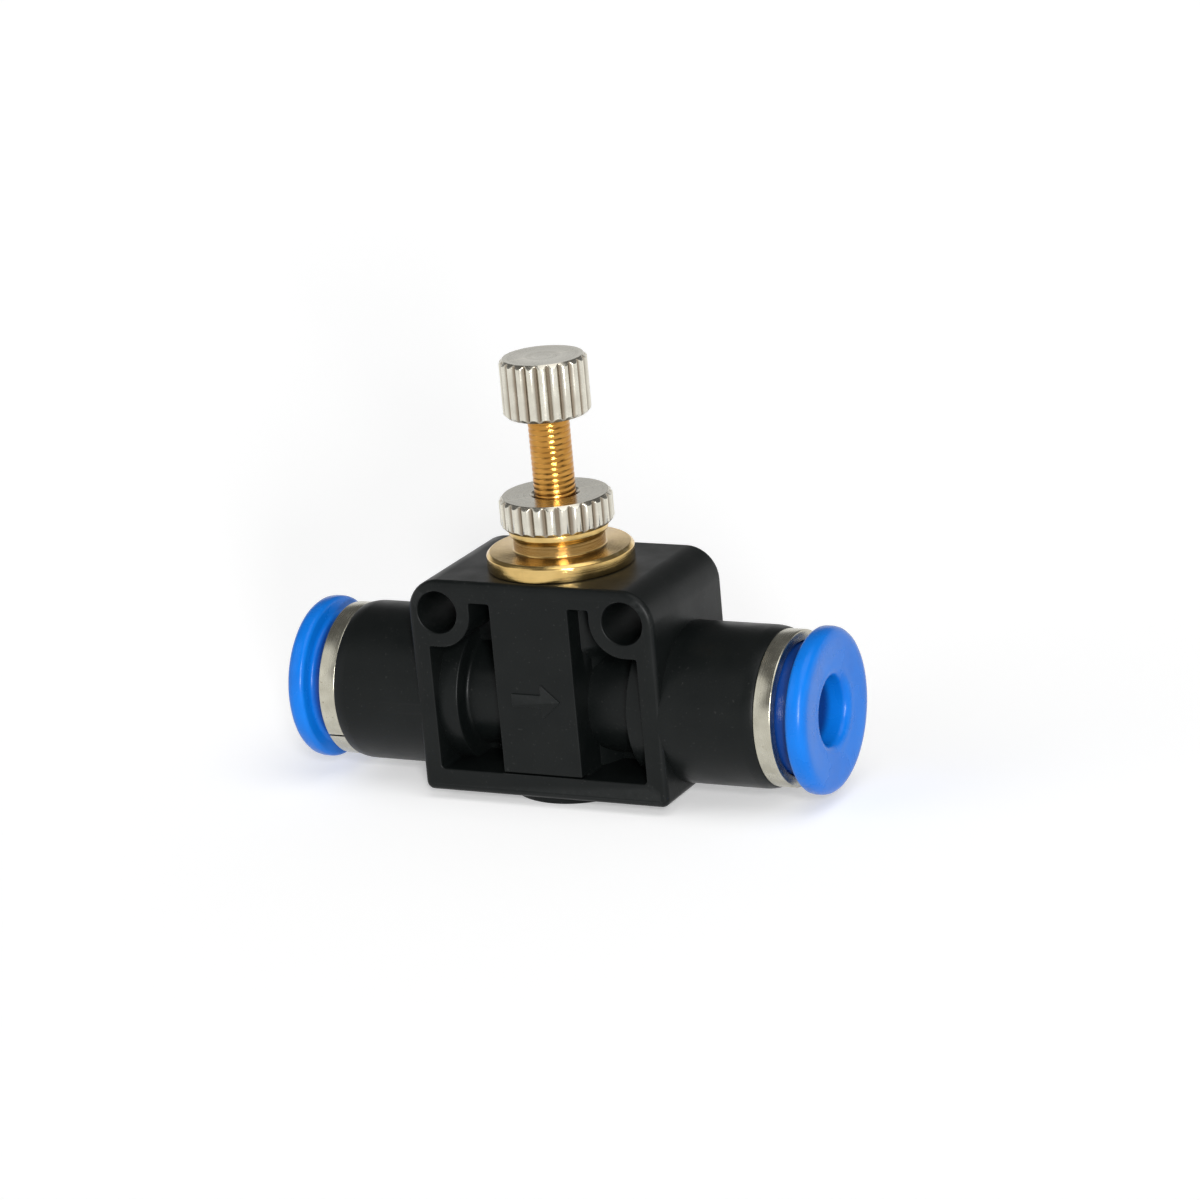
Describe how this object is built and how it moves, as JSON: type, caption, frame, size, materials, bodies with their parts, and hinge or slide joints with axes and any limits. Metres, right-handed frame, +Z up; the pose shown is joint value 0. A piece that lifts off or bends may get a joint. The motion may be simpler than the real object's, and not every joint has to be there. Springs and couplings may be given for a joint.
{
  "type": "flow control valve",
  "caption": "In-line pneumatic flow control valve: black plastic body with a push-in tube fitting at each end, a knurled needle knob and a lock nut on a brass bonnet.",
  "frame": {"origin": "centre of the flat round foot under the body, on the needle axis", "axes": "+X along the tube and flow axis towards the right port, +Y from the pictured front panel face towards the back, +Z up along the needle axis"},
  "size_m": [0.0358, 0.0104, 0.0276],
  "materials": {
    "body_plastic": "satin black moulded glass-filled plastic",
    "blue_plastic": "smooth satin blue acetal",
    "nickel": "nickel plated brass, slightly warm, lightly drawn",
    "brass": "turned bright brass",
    "stem_brass": "threaded brass, darker than the bonnet",
    "spring_steel": "stamped stainless spring steel",
    "seal_rubber": "matt nitrile rubber"
  },
  "bodies": {
    "housing": {"valve_body": "body_plastic", "bonnet": "brass", "bonnet_o_ring": "seal_rubber", "seat_sleeve": "brass", "check_seal": "seal_rubber", "left_collar_band": "nickel", "left_claw_guide": "brass", "left_lock_claw": "spring_steel", "left_claw_spacer": "brass", "left_tube_seal": "seal_rubber", "right_collar_band": "nickel", "right_claw_guide": "brass", "right_lock_claw": "spring_steel", "right_claw_spacer": "brass", "right_tube_seal": "seal_rubber"},
    "stem_seal": {"stem_o_ring": "seal_rubber"},
    "needle": {"needle_stem": "stem_brass", "adjusting_knob": "nickel"},
    "locking_nut": {"lock_nut": "nickel"},
    "left_release": {"left_release_ring": "blue_plastic"},
    "right_release": {"right_release_ring": "blue_plastic"}
  },
  "joints": [
    {"name": "needle_travel", "type": "slide", "parent": "housing", "child": "stem_seal", "axis": [0, 0, 1], "range_m": [-0.00315, 0.00035]},
    {"name": "knob_turn", "type": "hinge", "parent": "stem_seal", "child": "needle", "pos_m": [0, 0, 0.0239], "axis": [0, 0, 1], "range_deg": [-3245, 365]},
    {"name": "lock_nut_turn", "type": "hinge", "parent": "housing", "child": "locking_nut", "pos_m": [0, 0, 0.01695], "axis": [0, 0, 1], "range_deg": [0, 360]},
    {"name": "left_release_press", "type": "slide", "parent": "housing", "child": "left_release", "axis": [1, 0, 0], "range_m": [0, 0.00085], "stiffness_N_per_m": 600},
    {"name": "right_release_press", "type": "slide", "parent": "housing", "child": "right_release", "axis": [-1, 0, 0], "range_m": [0, 0.00085], "stiffness_N_per_m": 600}
  ],
  "couplings": [
    {"joint": "knob_turn", "follows": "needle_travel", "rad_per_m": 17952}
  ]
}
